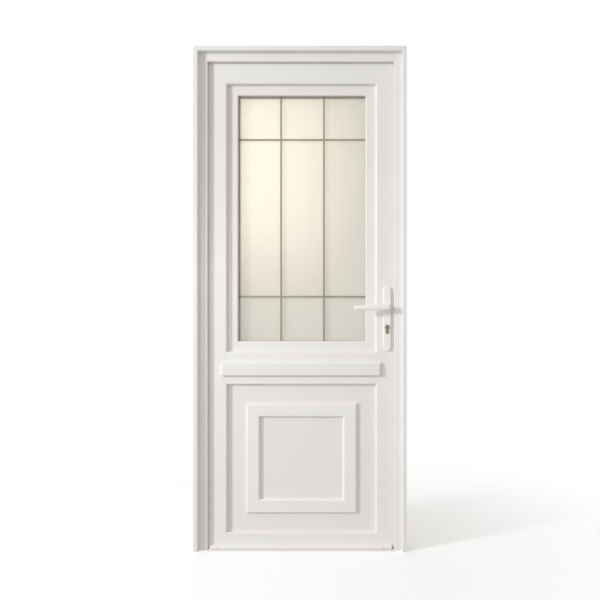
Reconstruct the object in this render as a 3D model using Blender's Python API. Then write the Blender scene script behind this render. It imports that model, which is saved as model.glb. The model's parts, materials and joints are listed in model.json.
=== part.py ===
"""Half-glazed PVC front door in its frame.

The frame stands on the floor plane, z up. X runs to the right as seen from outside, and Y runs
inwards, so the outer face looks along -Y. The origin is the middle of the frame's underside.
Depths are measured inwards from the frame's outermost face, and at() turns them into Y.
"""

import math

import bmesh
import bpy
from mathutils import Matrix, Vector

# Fixed frame
DOOR_WIDTH = 0.907
DOOR_HEIGHT = 2.150
FRAME_DEPTH = 0.085
FRAME_FACE = 0.0545         # width of the jambs seen from outside
HEAD_FACE = 0.059           # the same for the head
LIP_WIDTH = 0.019           # outermost step of that face
LIP_STEP = 0.020            # how far the rest of the face stands back
STOP_THICKNESS = 0.012
STOP_COVER = 0.020          # how far the stop reaches past the rebate behind it
FRAME_EDGE_ROUND = 0.004
THRESHOLD_THICKNESS = 0.002
THRESHOLD_NOSE = 0.006      # the plate starts this far behind the frame's face

# Leaf
LEAF_THICKNESS = 0.068
LEAF_GAP = 0.012            # play between the leaf's edge and the rebate
LEAF_FOOT_GAP = 0.0015      # play between the leaf and the threshold
SEAL_SPACE = 0.004          # between the stop and the leaf
FLANGE_SEAL_SPACE = 0.003   # between the leaf's flange and the frame's inner face
FLANGE_COVER = 0.008        # how far the flange reaches over the frame
FLANGE_LIFT = 0.003         # the flange's foot above the leaf's foot
STILE_WIDTH = 0.087
TOP_RAIL_WIDTH = 0.1005
BOTTOM_RAIL_TOP = 0.070
MIDDLE_RAIL_BOTTOM = 0.7065
MIDDLE_RAIL_WIDTH = 0.142
LIP_THICKNESS = 0.015       # the leaf's outer lip, in front of its glazing rebate
LIP_COVER = 0.018           # how far the lip reaches past the rebate
OPENING_ROUND = 0.007
TRANSOM_LAP = 0.0035        # how far the middle rail laps over the stiles' rounded edge
LEAF_EDGE_ROUND = 0.0015
SEAL_WIDTH = 0.006
SEAL_SETBACK = 0.002        # the seal stands back this far from the edge that covers it
FLANGE_SEAL_SETBACK = 0.001

# Glazing
BEAD_WIDTH = 0.044          # what shows of a glazing bead from outside
BEAD_DEPTH = 0.0065
BEAD_ROUND = 0.005
PANEL_BEAD_WIDTH = 0.012    # what an inner panel bead shows beyond the rebate's lip
GASKET_THICKNESS = 0.0015
GASKET_SHOWS = 0.0015
PANE_THICKNESS = 0.004
CAVITY = 0.016
PANE_INSET = 0.040          # from the rebate's edge to the panes' edge
PANEL_PLAY = 0.004          # the same for the lower panel
SPACER_INSET = 0.004
SPACER_WIDTH = 0.014
LATTICE_WIDTH = 0.008
LATTICE_DEPTH = 0.005
LATTICE_COLUMN = 0.187      # between the two upright bars
LATTICE_FOOT = 0.1935       # from the foot of the visible glass to the lower bar
LATTICE_HEAD = 0.186        # from its head to the upper bar

# Lower panel
PANEL_THICKNESS = 0.032
MOULDING_MARGIN = 0.081     # from the opening's edge to the raised square
MOULDING_WIDTH = 0.060
MOULDING_HEIGHT = 0.012
MOULDING_ROUND = 0.009

# Ledge and weather bar
LEDGE_OVERHANG = 0.022      # how far the ledge reaches past the opening's sides
LEDGE_BOTTOM = 0.7445
LEDGE_HEIGHT = 0.0575
LEDGE_DEPTH = 0.014
LEDGE_ROUND = 0.008
BAR_END_GAP = 0.009         # between the weather bar and the stop
BAR_DEPTH = 0.018
BAR_FACE = 0.0115
BAR_HEIGHT = 0.017
BAR_CAP = 0.034
BAR_ROUND = 0.0015

# Handle set and lock
HANDLE_SETBACK = 0.037      # from the leaf's edge to the lever's axis
HANDLE_HEIGHT = 1.039
PLATE_WIDTH = 0.033
PLATE_LENGTH = 0.276
PLATE_ABOVE_AXIS = 0.0895
PLATE_THICKNESS = 0.0085
PLATE_ROUND = 0.003
LEVER_REACH = 0.141
LEVER_HUB_RADIUS = 0.012
LEVER_TIP_RADIUS = 0.0095
LEVER_HEEL = 0.0025         # the hub end's centre lies this far beyond the axis
LEVER_THICKNESS = 0.013
LEVER_BULGE = 0.0015
LEVER_ROUND = 0.004
LEVER_PROUD = 0.050         # from the leaf's face to the lever's outside
NECK_RADIUS = 0.010
SPINDLE_SIDE = 0.008
SPINDLE_PLAY = 0.0013
CYLINDER_DROP = 0.085       # from the lever's axis to the cylinder's centre
CYLINDER_RADIUS = 0.010
CYLINDER_LOWER_RADIUS = 0.006
CYLINDER_TOTAL = 0.038
CYLINDER_PROUD = 0.003
CYLINDER_PLAY = 0.0005
SCREW_RADIUS = 0.0045
SCREW_HEAD = 0.0012
SCREW_INSET = 0.014         # from the plate's end to the screw
FACEPLATE_WIDTH = 0.020
FACEPLATE_LENGTH = 0.280
FACEPLATE_THICKNESS = 0.002
FACEPLATE_DROP = 0.030      # the faceplate's middle below the latch
LATCH_RISE = 0.032          # latch above the lever's axis
LATCH_THICKNESS = 0.014
LATCH_HEIGHT = 0.028
LATCH_LENGTH = 0.025
LATCH_PROUD = 0.008
LATCH_TRAVEL = 0.0085
LATCH_PLAY = 0.0005
LATCH_NOSE_FLAT = 0.004
KEEP_THICKNESS = 0.0015
KEEP_WIDTH = 0.026
KEEP_LENGTH = 0.080
KEEP_SLOT_PLAY = 0.003

# Hinges
HINGE_RISE = 0.230          # from the floor to the lower hinge's middle
HINGE_DROP = 0.260          # from the frame's top to the upper hinge's middle
HINGE_LENGTH = 0.096
HINGE_RADIUS = 0.009
HINGE_AXIS_OUT = 0.009      # from the flange's edge to the pin's axis
HINGE_AXIS_IN = 0.008       # from the leaf's inner face to the pin's axis
HINGE_PIN_RADIUS = 0.004
HINGE_PIN_PLAY = 0.0004
HINGE_SPLIT = 0.001
HINGE_WING_WIDTH = 0.040
HINGE_WING_THICKNESS = 0.004
HINGE_WING_CLEAR = 0.005    # from the knuckle to the leaf wing's plate
HINGE_ARM_REACH = 0.006     # from the pin's axis to the frame arm's edge

# Fits and facets
FIT = 0.0003                # gap between pieces that touch
CUT_OVER = 0.002            # how far a cutter runs past a face
ARC_STEPS = 4
CIRCLE_STEPS = 24

# Places that follow from the sizes above
FRAME_X = DOOR_WIDTH / 2
STOP_X = FRAME_X - FRAME_FACE
STOP_TOP = DOOR_HEIGHT - HEAD_FACE
HEAD_RATIO = HEAD_FACE / FRAME_FACE
REBATE_X = STOP_X + STOP_COVER
REBATE_TOP = DOOR_HEIGHT - (FRAME_FACE - STOP_COVER) * HEAD_RATIO
STOP_BACK = LIP_STEP + STOP_THICKNESS
LEAF_FRONT = STOP_BACK + SEAL_SPACE
LEAF_BACK = LEAF_FRONT + LEAF_THICKNESS
LEAF_X = REBATE_X - LEAF_GAP
LEAF_TOP = REBATE_TOP - LEAF_GAP
LEAF_FOOT = THRESHOLD_THICKNESS + LEAF_FOOT_GAP
FLANGE_FRONT = FRAME_DEPTH + FLANGE_SEAL_SPACE
FLANGE_X = REBATE_X + FLANGE_COVER
FLANGE_TOP = REBATE_TOP + FLANGE_COVER
OPENING_X = LEAF_X - STILE_WIDTH
OPENING_TOP = LEAF_TOP - TOP_RAIL_WIDTH
LIP_BACK = LEAF_FRONT + LIP_THICKNESS
MIDDLE_RAIL_TOP = MIDDLE_RAIL_BOTTOM + MIDDLE_RAIL_WIDTH
GASKET_BACK = LIP_BACK + BEAD_DEPTH + GASKET_THICKNESS
PANE_OUTER_FRONT = GASKET_BACK + FIT
PANE_OUTER_BACK = PANE_OUTER_FRONT + PANE_THICKNESS
PANE_INNER_FRONT = PANE_OUTER_BACK + CAVITY
PANE_INNER_BACK = PANE_INNER_FRONT + PANE_THICKNESS
HANDLE_X = LEAF_X - HANDLE_SETBACK
CYLINDER_Z = HANDLE_HEIGHT - CYLINDER_DROP
LATCH_Z = HANDLE_HEIGHT + LATCH_RISE
LATCH_DEPTH = (LEAF_FRONT + LEAF_BACK) / 2
HINGE_X = -(FLANGE_X + HINGE_AXIS_OUT)
HINGE_DEPTH = LEAF_BACK + HINGE_AXIS_IN
HINGE_LOW = HINGE_RISE
HINGE_HIGH = DOOR_HEIGHT - HINGE_DROP
HINGE_MIDDLE = (HINGE_LOW + HINGE_HIGH) / 2


def at(depth):
    """World Y of a depth measured from the frame's outermost face."""
    return depth - FRAME_DEPTH / 2


def clear_scene():
    for item in list(bpy.data.objects):
        bpy.data.objects.remove(item, do_unlink=True)


def new_collection(name):
    collection = bpy.data.collections.new(name)
    bpy.context.scene.collection.children.link(collection)
    return collection


def finish(name, colour, roughness, metallic=0.0):
    """A Principled material in one colour."""
    material = bpy.data.materials.new(name)
    material.use_nodes = True
    shader = material.node_tree.nodes["Principled BSDF"]
    shader.inputs["Base Color"].default_value = (*colour, 1.0)
    shader.inputs["Roughness"].default_value = roughness
    shader.inputs["Metallic"].default_value = metallic
    return material


def add_mesh(name, bm, collection, material=None):
    """Turn a bmesh into an object of the given collection."""
    bmesh.ops.recalc_face_normals(bm, faces=bm.faces)
    mesh = bpy.data.meshes.new(name)
    bm.to_mesh(mesh)
    bm.free()
    item = bpy.data.objects.new(name, mesh)
    collection.objects.link(item)
    if material:
        mesh.materials.append(material)
    return item


def add_cutter(name, bm):
    item = add_mesh(name, bm, CUTTERS)
    item.hide_render = True
    item.display_type = 'WIRE'
    return item


def combine(item, tool, operation):
    modifier = item.modifiers.new(tool.name, 'BOOLEAN')
    modifier.operation = operation
    modifier.solver = 'EXACT'
    modifier.object = tool


def shade_round(item, angle=35):
    item.data.shade_smooth()
    item.data.set_sharp_from_angle(angle=math.radians(angle))


def box_mesh(x, depth, z, round_by=0.0, picks=None, steps=2):
    """A box between pairs of limits; the edges that picks accepts are rounded."""
    bm = bmesh.new()
    bmesh.ops.create_cube(bm, size=1.0)
    size = Vector((x[1] - x[0], depth[1] - depth[0], z[1] - z[0]))
    middle = Vector((sum(x) / 2, at(sum(depth) / 2), sum(z) / 2))
    bmesh.ops.scale(bm, vec=size, verts=bm.verts)
    if round_by > 0.0:
        edges = [edge for edge in bm.edges if picks is None or picks(edge)]
        bmesh.ops.bevel(bm, geom=edges, offset=round_by, segments=steps, profile=0.5,
                        affect='EDGES')
    bmesh.ops.translate(bm, vec=middle, verts=bm.verts)
    return bm


def front_edges(edge):
    """Edges that lie in the face turned to -Y."""
    return all(vert.co.y < 0.0 for vert in edge.verts)


def prism_mesh(outline, axis, start, end, round_by=0.0, steps=2, both=True):
    """An outline pushed along X, Y (as depths) or Z, with the end faces' edges rounded.

    The outline's pairs are (depth, z) along X, (x, z) along Y and (x, depth) along Z.
    """
    def place(pair, along):
        if axis == 'X':
            return Vector((along, at(pair[0]), pair[1]))
        if axis == 'Y':
            return Vector((pair[0], at(along), pair[1]))
        return Vector((pair[0], at(pair[1]), along))

    bm = bmesh.new()
    near = [bm.verts.new(place(pair, start)) for pair in outline]
    far = [bm.verts.new(place(pair, end)) for pair in outline]
    caps = [bm.faces.new(far), bm.faces.new(list(reversed(near)))]
    for index, vert in enumerate(near):
        following = (index + 1) % len(near)
        bm.faces.new((vert, near[following], far[following], far[index]))
    bmesh.ops.recalc_face_normals(bm, faces=bm.faces)
    if round_by > 0.0:
        edges = {edge for face in (caps if both else caps[:1]) for edge in face.edges}
        bmesh.ops.bevel(bm, geom=list(edges), offset=round_by, segments=steps, profile=0.5,
                        affect='EDGES')
    return bm


def joined(*shapes):
    """Several closed shapes in one bmesh."""
    whole = bmesh.new()
    for shape in shapes:
        mesh = bpy.data.meshes.new("shape")
        shape.to_mesh(mesh)
        shape.free()
        whole.from_mesh(mesh)
        bpy.data.meshes.remove(mesh)
    return whole


def arc(centre, radius, start, end, steps):
    """Points on an arc, both ends included, angles in degrees."""
    turn = [math.radians(start + (end - start) * step / steps) for step in range(steps + 1)]
    return [(centre[0] + radius * math.cos(angle), centre[1] + radius * math.sin(angle))
            for angle in turn]


def soften(points, steps=ARC_STEPS):
    """Round each corner of an open run of (across, depth, radius) points with an arc."""
    run = []
    for index, (across, depth, radius) in enumerate(points):
        corner = Vector((across, depth))
        if radius <= 0.0 or index in (0, len(points) - 1):
            run.append(tuple(corner))
            continue
        before = (Vector(points[index - 1][:2]) - corner).normalized()
        after = (Vector(points[index + 1][:2]) - corner).normalized()
        centre = corner + (before + after) * radius
        for step in range(steps + 1):
            turn = math.pi / 2 * step / steps
            run.append(tuple(centre - after * radius * math.cos(turn)
                             - before * radius * math.sin(turn)))
    return run


def grown(rectangle, by):
    """A (left, right, bottom, top) rectangle grown outwards on all sides."""
    left, right, bottom, top = rectangle
    return (left - by, right + by, bottom - by, top + by)


def ring_mesh(loops, sides='ALL', end_gap=0.0):
    """A mitred length, or a whole ring, swept round rectangles.

    Each loop is (rectangle, depth), one point of the section, and the loops follow the section
    round. sides is ALL for a closed ring, OPEN for jambs and head cut off at the rectangle's
    foot, or LEFT, TOP, RIGHT or BOTTOM for one length whose mitred ends keep end_gap.
    """
    def corners(rectangle, depth):
        left, right, bottom, top = rectangle
        y = at(depth)
        foot_left = Vector((left, y, bottom))
        head_left = Vector((left, y, top))
        head_right = Vector((right, y, top))
        foot_right = Vector((right, y, bottom))
        along_x = Vector((end_gap, 0.0, 0.0))
        along_z = Vector((0.0, 0.0, end_gap))
        return {
            'ALL': [foot_left, head_left, head_right, foot_right],
            'OPEN': [foot_left, head_left, head_right, foot_right],
            'LEFT': [foot_left + along_z, head_left - along_z],
            'TOP': [head_left + along_x, head_right - along_x],
            'RIGHT': [head_right - along_z, foot_right + along_z],
            'BOTTOM': [foot_right - along_x, foot_left + along_x],
        }[sides]

    bm = bmesh.new()
    rows = [[bm.verts.new(corner) for corner in corners(*loop)] for loop in loops]
    stations = len(rows[0])
    last = stations if sides == 'ALL' else stations - 1
    for row, following in zip(rows, rows[1:] + rows[:1]):
        for station in range(last):
            onward = (station + 1) % stations
            bm.faces.new((row[station], row[onward], following[onward], following[station]))
    if sides != 'ALL':
        bm.faces.new([row[0] for row in rows])
        bm.faces.new([row[-1] for row in reversed(rows)])
    return bm


def section(rectangle, points):
    """Loops for ring_mesh from a run of (inwards from the rectangle, depth) points."""
    return [(grown(rectangle, -across), depth) for across, depth in points]


def frame_section(points, foot=0.0):
    """The same for jambs and head, whose rectangle stays open at its foot.

    The points are a jamb's, and the head's are as much wider as its face is.
    """
    return [((-FRAME_X + across, FRAME_X - across, foot, DOOR_HEIGHT - across * HEAD_RATIO),
             depth) for across, depth in points]


def parent_to(pivot, place, items):
    for item in items:
        item.parent = pivot
        item.matrix_parent_inverse = Matrix.Translation(-place)


def add_pivot(name, place, parent=None, parent_place=None):
    pivot = bpy.data.objects.new(name, None)
    PARTS.objects.link(pivot)
    pivot.empty_display_size = 0.05
    pivot.location = place
    if parent:
        parent_to(parent, parent_place, [pivot])
    return pivot


def build_frame():
    """Jambs and head with their stepped face, stop and rebate, welded at the mitres."""
    rebate = FRAME_FACE - STOP_COVER
    points = soften([
        (0.0, 0.0, 0.0),
        (LIP_WIDTH, 0.0, FRAME_EDGE_ROUND),
        (LIP_WIDTH, LIP_STEP, 0.0),
        (FRAME_FACE, LIP_STEP, FRAME_EDGE_ROUND),
        (FRAME_FACE, STOP_BACK, 0.0),
        (rebate, STOP_BACK, 0.0),
        (rebate, FRAME_DEPTH, 0.0),
        (0.0, FRAME_DEPTH, 0.0),
    ])
    return add_mesh("frame", ring_mesh(frame_section(points), 'OPEN'), PARTS, WHITE_PVC)


def build_threshold():
    """Flat plate between the jambs, notched round the stops."""
    notch_x = STOP_X - FIT
    wide_x = REBATE_X - FIT
    notch_depth = STOP_BACK + FIT
    half = [(notch_x, THRESHOLD_NOSE), (notch_x, notch_depth), (wide_x, notch_depth),
            (wide_x, FRAME_DEPTH)]
    outline = half + [(-x, depth) for x, depth in reversed(half)]
    mesh = prism_mesh(outline, 'Z', 0.0, THRESHOLD_THICKNESS)
    return add_mesh("threshold", mesh, PARTS, WHITE_COAT)


def build_frame_seal():
    """Rubber strip behind the stop's edge, on three sides."""
    edge = FRAME_FACE - SEAL_SETBACK
    points = [
        (edge, STOP_BACK + FIT),
        (edge, LEAF_FRONT - FIT),
        (edge - SEAL_WIDTH, LEAF_FRONT - FIT),
        (edge - SEAL_WIDTH, STOP_BACK + FIT),
    ]
    mesh = ring_mesh(frame_section(points, LEAF_FOOT), 'OPEN')
    return add_mesh("frame_seal", mesh, PARTS, RUBBER)


def build_keep_plate():
    """Plate on the right jamb, with a slot that stands clear of the latch."""
    face = REBATE_X - FIT
    depth = (LATCH_DEPTH - KEEP_WIDTH / 2, LATCH_DEPTH + KEEP_WIDTH / 2)
    z = (LATCH_Z - KEEP_LENGTH / 2, LATCH_Z + KEEP_LENGTH / 2)
    keep = add_mesh("keep_plate", box_mesh((face - KEEP_THICKNESS, face), depth, z), PARTS, STEEL)
    slot_depth = LATCH_THICKNESS / 2 + KEEP_SLOT_PLAY
    slot_height = LATCH_HEIGHT / 2 + KEEP_SLOT_PLAY
    slot = box_mesh((face - KEEP_THICKNESS - CUT_OVER, face + CUT_OVER),
                    (LATCH_DEPTH - slot_depth, LATCH_DEPTH + slot_depth),
                    (LATCH_Z - slot_height, LATCH_Z + slot_height))
    combine(keep, add_cutter("keep_slot", slot), 'DIFFERENCE')
    return keep


def euro_outline(play=0.0):
    """Round head above a narrow round-ended stem, the outline of a profile cylinder."""
    head = CYLINDER_RADIUS + play
    stem = CYLINDER_LOWER_RADIUS + play
    join = math.degrees(math.asin(stem / head))
    foot = CYLINDER_Z + CYLINDER_RADIUS - CYLINDER_TOTAL + CYLINDER_LOWER_RADIUS
    return (arc((HANDLE_X, CYLINDER_Z), head, -90 + join, 270 - join, CIRCLE_STEPS)
            + arc((HANDLE_X, foot), stem, 180, 360, CIRCLE_STEPS // 2))


def disc_outline(x, z, radius, steps=CIRCLE_STEPS):
    return arc((x, z), radius, 0, 360, steps)[:-1]


def cut_handle_holes(item, start, end):
    """Holes for the spindle and the lock cylinder through the leaf or a plate."""
    spindle_hole = SPINDLE_SIDE / math.sqrt(2) + SPINDLE_PLAY
    hole = prism_mesh(disc_outline(HANDLE_X, HANDLE_HEIGHT, spindle_hole), 'Y',
                      start - CUT_OVER, end + CUT_OVER)
    keyhole = prism_mesh(euro_outline(CYLINDER_PLAY), 'Y', start - CUT_OVER, end + CUT_OVER)
    combine(item, add_cutter(item.name + "_holes", joined(hole, keyhole)), 'DIFFERENCE')


def build_leaf_frame():
    """Stiles and rails welded into one ring, with the lip, rebate and inner flange."""
    outer = (-LEAF_X, LEAF_X, LEAF_FOOT, LEAF_TOP)
    flange = (-FLANGE_X, FLANGE_X, LEAF_FOOT + FLANGE_LIFT, FLANGE_TOP)
    opening = (-OPENING_X, OPENING_X, BOTTOM_RAIL_TOP, OPENING_TOP)
    far = STILE_WIDTH / 2
    edge = soften([(far, LEAF_FRONT, 0.0), (0.0, LEAF_FRONT, OPENING_ROUND),
                   (0.0, LIP_BACK, 0.0)])[1:]
    arris = soften([(0.0, FLANGE_FRONT, 0.0), (0.0, LEAF_FRONT, LEAF_EDGE_ROUND),
                    (far, LEAF_FRONT, 0.0)])[1:-1]
    loops = [(grown(outer, -across), depth) for across, depth in arris]
    loops += [(grown(opening, across), depth) for across, depth in edge]
    loops += [
        (grown(opening, LIP_COVER), LIP_BACK),
        (grown(opening, LIP_COVER), LEAF_BACK),
        (flange, LEAF_BACK),
        (flange, FLANGE_FRONT),
        (outer, FLANGE_FRONT),
    ]
    leaf = add_mesh("leaf_frame", ring_mesh(loops), PARTS, WHITE_PVC)
    cut_handle_holes(leaf, LEAF_FRONT, LEAF_BACK)
    slot_depth = FACEPLATE_WIDTH / 2 + FIT
    slot_height = FACEPLATE_LENGTH / 2 + FIT
    seat = box_mesh((LEAF_X - FACEPLATE_THICKNESS - FIT, LEAF_X + CUT_OVER),
                    (LATCH_DEPTH - slot_depth, LATCH_DEPTH + slot_depth),
                    (LATCH_Z - FACEPLATE_DROP - slot_height,
                     LATCH_Z - FACEPLATE_DROP + slot_height))
    combine(leaf, add_cutter("faceplate_seat", seat), 'DIFFERENCE')
    pocket_depth = LATCH_THICKNESS / 2 + LATCH_PLAY
    pocket_height = LATCH_HEIGHT / 2 + LATCH_PLAY
    inner_end = LEAF_X + LATCH_PROUD - LATCH_LENGTH - LATCH_TRAVEL - CUT_OVER
    pocket = box_mesh((inner_end, LEAF_X + CUT_OVER),
                      (LATCH_DEPTH - pocket_depth, LATCH_DEPTH + pocket_depth),
                      (LATCH_Z - pocket_height, LATCH_Z + pocket_height))
    combine(leaf, add_cutter("latch_pocket", pocket), 'DIFFERENCE')
    return leaf


def build_transom():
    """Middle rail: a face scribed to the stiles' rounded edges and a web in the rebate."""
    lap_x = OPENING_X + TRANSOM_LAP
    front_x = OPENING_X - FIT
    web_x = OPENING_X + LIP_COVER - FIT
    edge = OPENING_ROUND
    rounded = soften([
        (LIP_BACK, MIDDLE_RAIL_BOTTOM, 0.0),
        (LEAF_FRONT, MIDDLE_RAIL_BOTTOM, edge),
        (LEAF_FRONT, MIDDLE_RAIL_TOP, edge),
        (LIP_BACK, MIDDLE_RAIL_TOP, 0.0),
    ])
    transom = add_mesh("transom", prism_mesh(rounded, 'X', -lap_x, lap_x), PARTS, WHITE_PVC)
    round_x = OPENING_X + edge
    scribe = arc((round_x, LEAF_FRONT + edge), edge + FIT, 180, 270, ARC_STEPS)
    scribe += [(round_x + CUT_OVER, LEAF_FRONT - FIT), (round_x + CUT_OVER, LIP_BACK + CUT_OVER),
               (front_x, LIP_BACK + CUT_OVER)]
    for name, side in (("transom_scribe_left", -1), ("transom_scribe_right", 1)):
        cut = prism_mesh([(side * x, depth) for x, depth in scribe], 'Z',
                         MIDDLE_RAIL_BOTTOM - CUT_OVER, MIDDLE_RAIL_TOP + CUT_OVER)
        combine(transom, add_cutter(name, cut), 'DIFFERENCE')
    web = box_mesh((-web_x, web_x), (LIP_BACK + FIT, LEAF_BACK),
                   (MIDDLE_RAIL_BOTTOM + LIP_COVER, MIDDLE_RAIL_TOP - LIP_COVER))
    neck = box_mesh((-front_x, front_x), (LIP_BACK - CUT_OVER, LIP_BACK + CUT_OVER),
                    (MIDDLE_RAIL_BOTTOM + LIP_COVER, MIDDLE_RAIL_TOP - LIP_COVER))
    combine(transom, add_cutter("transom_neck", neck), 'UNION')
    combine(transom, add_cutter("transom_web", web), 'UNION')
    return transom


def build_leaf_seal():
    """Rubber strip on the front of the leaf's flange, on three sides."""
    outer = (-FLANGE_X, FLANGE_X, LEAF_FOOT + FLANGE_LIFT, FLANGE_TOP)
    points = [
        (FLANGE_SEAL_SETBACK, FRAME_DEPTH + FIT),
        (FLANGE_SEAL_SETBACK, FLANGE_FRONT - FIT),
        (FLANGE_SEAL_SETBACK + SEAL_WIDTH, FLANGE_FRONT - FIT),
        (FLANGE_SEAL_SETBACK + SEAL_WIDTH, FRAME_DEPTH + FIT),
    ]
    loops = [((left, right, outer[2], top), depth)
             for (left, right, _, top), depth in section(outer, points)]
    mesh = ring_mesh(loops, 'OPEN')
    return add_mesh("leaf_seal", mesh, PARTS, RUBBER)


def upper_rebate():
    return (-OPENING_X - LIP_COVER, OPENING_X + LIP_COVER,
            MIDDLE_RAIL_TOP - LIP_COVER, OPENING_TOP + LIP_COVER)


def lower_rebate():
    return (-OPENING_X - LIP_COVER, OPENING_X + LIP_COVER,
            BOTTOM_RAIL_TOP - LIP_COVER, MIDDLE_RAIL_BOTTOM + LIP_COVER)


def build_beads(name, rebate, shows, front, back, face_out):
    """Four mitred bead lengths in a rebate; face_out beads turn their face to -Y."""
    wide = LIP_COVER + shows
    face, seat = (front, back) if face_out else (back, front)
    points = soften([
        (FIT, face, 0.0),
        (wide, face, BEAD_ROUND),
        (wide, seat, 0.0),
        (FIT, seat, 0.0),
    ])
    beads = []
    for side in ('LEFT', 'RIGHT', 'TOP', 'BOTTOM'):
        mesh = ring_mesh(section(rebate, points), side, FIT / 2)
        beads.append(add_mesh(name + "_" + side.lower(), mesh, PARTS, WHITE_PVC))
    return beads


def build_gasket(name, front, back):
    """Thin rubber ring between the beads and a pane, just showing at the beads' edge."""
    reach = LIP_COVER + BEAD_WIDTH + GASKET_SHOWS
    points = [
        (PANE_INSET, front + FIT),
        (reach, front + FIT),
        (reach, back - FIT),
        (PANE_INSET, back - FIT),
    ]
    return add_mesh(name, ring_mesh(section(upper_rebate(), points)), PARTS, RUBBER)


def build_glazing():
    """Two panes, the spacer frame between them and the brass lattice in the cavity."""
    pane = grown(upper_rebate(), -PANE_INSET)
    left, right, bottom, top = pane
    parts = []
    for name, front, back in (("pane_outer", PANE_OUTER_FRONT, PANE_OUTER_BACK),
                              ("pane_inner", PANE_INNER_FRONT, PANE_INNER_BACK)):
        mesh = box_mesh((left, right), (front, back), (bottom, top))
        parts.append(add_mesh(name, mesh, PARTS, FROSTED_GLASS))
    points = [
        (SPACER_INSET, PANE_OUTER_BACK + FIT),
        (SPACER_INSET + SPACER_WIDTH, PANE_OUTER_BACK + FIT),
        (SPACER_INSET + SPACER_WIDTH, PANE_INNER_FRONT - FIT),
        (SPACER_INSET, PANE_INNER_FRONT - FIT),
    ]
    parts.append(add_mesh("glass_spacer", ring_mesh(section(pane, points)), PARTS, ALUMINIUM))
    parts.append(build_lattice(grown(pane, -SPACER_INSET - SPACER_WIDTH - FIT)))
    return parts


def build_lattice(limits):
    """Two upright and two level brass bars, joined where they cross."""
    left, right, bottom, top = limits
    middle = (PANE_OUTER_BACK + PANE_INNER_FRONT) / 2
    depth = (middle - LATTICE_DEPTH / 2, middle + LATTICE_DEPTH / 2)
    glass_foot = MIDDLE_RAIL_TOP + BEAD_WIDTH
    glass_head = OPENING_TOP - BEAD_WIDTH
    half = LATTICE_WIDTH / 2
    uprights = [side * LATTICE_COLUMN / 2 for side in (-1, 1)]
    levels = [glass_foot + LATTICE_FOOT, glass_head - LATTICE_HEAD]
    boxes = [((x - half, x + half), (bottom, top)) for x in uprights]
    boxes += [((left, right), (z - half, z + half)) for z in levels]
    lattice = add_mesh("lattice", box_mesh(boxes[0][0], depth, boxes[0][1]), PARTS, BRASS)
    for number, (x, z) in enumerate(boxes[1:]):
        bar = add_cutter("lattice_bar_%d" % number, box_mesh(x, depth, z))
        combine(lattice, bar, 'UNION')
    return lattice


def build_lower_panel():
    """Flat panel with a raised square moulding pressed on both faces."""
    left, right, bottom, top = grown(lower_rebate(), -PANEL_PLAY)
    front = LIP_BACK + FIT
    back = front + PANEL_THICKNESS
    mesh = box_mesh((left, right), (front, back), (bottom, top))
    panel = add_mesh("lower_panel", mesh, PARTS, WHITE_PVC)
    square = grown(lower_rebate(), -LIP_COVER - MOULDING_MARGIN)
    for name, face, outward in (("moulding_outer", front, -1), ("moulding_inner", back, 1)):
        foot = face - outward * CUT_OVER
        crest = face + outward * MOULDING_HEIGHT
        points = soften([
            (0.0, foot, 0.0),
            (0.0, crest, MOULDING_ROUND),
            (MOULDING_WIDTH, crest, MOULDING_ROUND),
            (MOULDING_WIDTH, foot, 0.0),
        ])
        ring = ring_mesh(section(square, points))
        combine(panel, add_cutter(name, ring), 'UNION')
    return panel


def build_ledge():
    """Ledge on the middle rail, rounded along its top, foot and ends."""
    end_x = OPENING_X + LEDGE_OVERHANG
    mesh = box_mesh((-end_x, end_x),
                    (LEAF_FRONT - FIT - LEDGE_DEPTH, LEAF_FRONT - FIT),
                    (LEDGE_BOTTOM, LEDGE_BOTTOM + LEDGE_HEIGHT),
                    LEDGE_ROUND, front_edges, ARC_STEPS)
    return add_mesh("ledge", mesh, PARTS, WHITE_PVC)


def build_weather_bar():
    """Bar along the foot of the leaf with a sloping top, and a cap on each end."""
    end_x = STOP_X - BAR_END_GAP
    cap_x = end_x - BAR_CAP
    back = LEAF_FRONT - FIT
    front = back - BAR_DEPTH
    outline = [(back, LEAF_FOOT), (back, LEAF_FOOT + BAR_HEIGHT),
               (front, LEAF_FOOT + BAR_FACE), (front, LEAF_FOOT)]
    spans = (("weather_bar", -cap_x + FIT, cap_x - FIT),
             ("weather_bar_cap_left", -end_x, -cap_x),
             ("weather_bar_cap_right", cap_x, end_x))
    parts = []
    for name, start, end in spans:
        mesh = prism_mesh(outline, 'X', start, end, BAR_ROUND, 1)
        parts.append(add_mesh(name, mesh, PARTS, WHITE_PVC))
    return parts


def stadium_outline(x, z_low, z_high, radius):
    """Upright outline with round ends."""
    return (arc((x, z_high - radius), radius, 0, 180, CIRCLE_STEPS // 2)
            + arc((x, z_low + radius), radius, 180, 360, CIRCLE_STEPS // 2))


def build_plate(name, seat, face):
    """Long handle plate with round ends, from its seat on the leaf to its rounded face."""
    top = HANDLE_HEIGHT + PLATE_ABOVE_AXIS
    outline = stadium_outline(HANDLE_X, top - PLATE_LENGTH, top, PLATE_WIDTH / 2)
    mesh = prism_mesh(outline, 'Y', seat, face, PLATE_ROUND, 2, both=False)
    plate = add_mesh(name, mesh, PARTS, WHITE_COAT)
    shade_round(plate)
    cut_handle_holes(plate, min(seat, face), max(seat, face))
    return plate


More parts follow.
